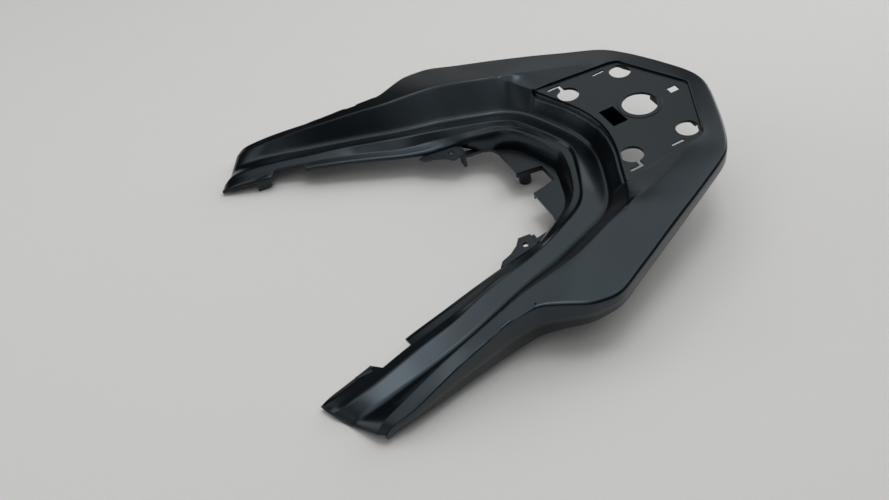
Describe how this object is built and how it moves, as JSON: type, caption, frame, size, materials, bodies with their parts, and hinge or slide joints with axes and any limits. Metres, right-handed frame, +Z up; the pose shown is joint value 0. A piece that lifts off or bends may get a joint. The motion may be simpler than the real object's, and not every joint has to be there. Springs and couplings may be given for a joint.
{
  "type": "motorcycle rear trim cover",
  "caption": "U-shaped moulded rear trim cover with a sunk channel round the seat gap and a flat pierced deck that carries a luggage rack.",
  "frame": {"origin": "middle of the footprint at the level the part rests on", "axes": "+X to the rear of the vehicle, +Y to its right side, +Z up as the part lies; the deck rises to the rear by 10.4 degrees"},
  "size_m": [0.4224, 0.363, 0.0915],
  "materials": {
    "shell": "satin moulded plastic, blue-black, fine grain"
  },
  "bodies": {
    "root": {"trim_cover": "shell"}
  },
  "joints": []
}
